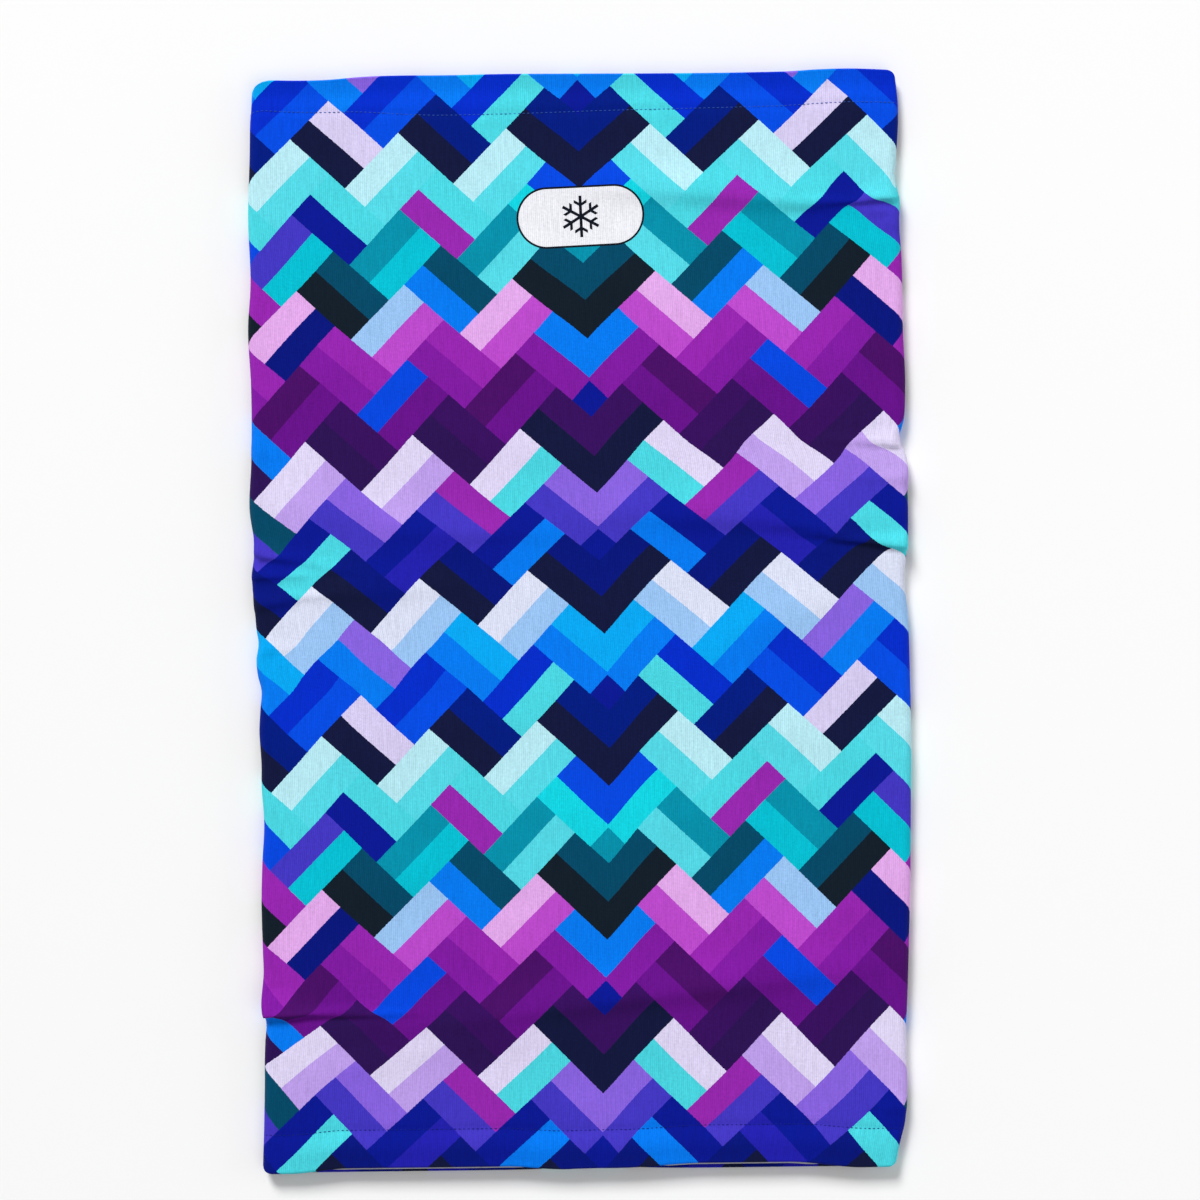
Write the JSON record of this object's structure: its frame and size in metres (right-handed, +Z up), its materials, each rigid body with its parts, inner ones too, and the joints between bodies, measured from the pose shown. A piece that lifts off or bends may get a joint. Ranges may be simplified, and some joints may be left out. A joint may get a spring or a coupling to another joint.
{
  "type": "neck gaiter",
  "caption": "Lined knitted neck gaiter: a printed outer tube over a soft plain lining, hemmed and topstitched at both ends, lying flat.",
  "frame": {"origin": "on the surface that the gaiter lies on, under the middle of the flat tube", "axes": "X across the flat tube from side fold to side fold, +Y along it towards the top hem, +Z up out of the front panel"},
  "size_m": [0.24, 0.405, 0.01],
  "materials": {
    "printed_knit": "fine knitted polyester, printed in many blues, violets and pinks, matt with a slight sheen",
    "brushed_lining": "plain light grey knit, brushed on the inside",
    "blue_thread": "spun polyester sewing thread",
    "grey_thread": "spun polyester sewing thread",
    "label_ribbon": "blank white satin ribbon"
  },
  "bodies": {
    "root": {"shell": "printed_knit", "lining": "brushed_lining", "shell_seam_thread": "blue_thread", "lining_seam_thread": "grey_thread", "top_edge_seam_thread": "grey_thread", "top_hem_needle_thread": "blue_thread", "top_hem_bobbin_thread": "grey_thread", "bottom_edge_seam_thread": "grey_thread", "bottom_hem_needle_thread": "blue_thread", "bottom_hem_bobbin_thread": "grey_thread", "care_label": "label_ribbon"}
  },
  "joints": []
}
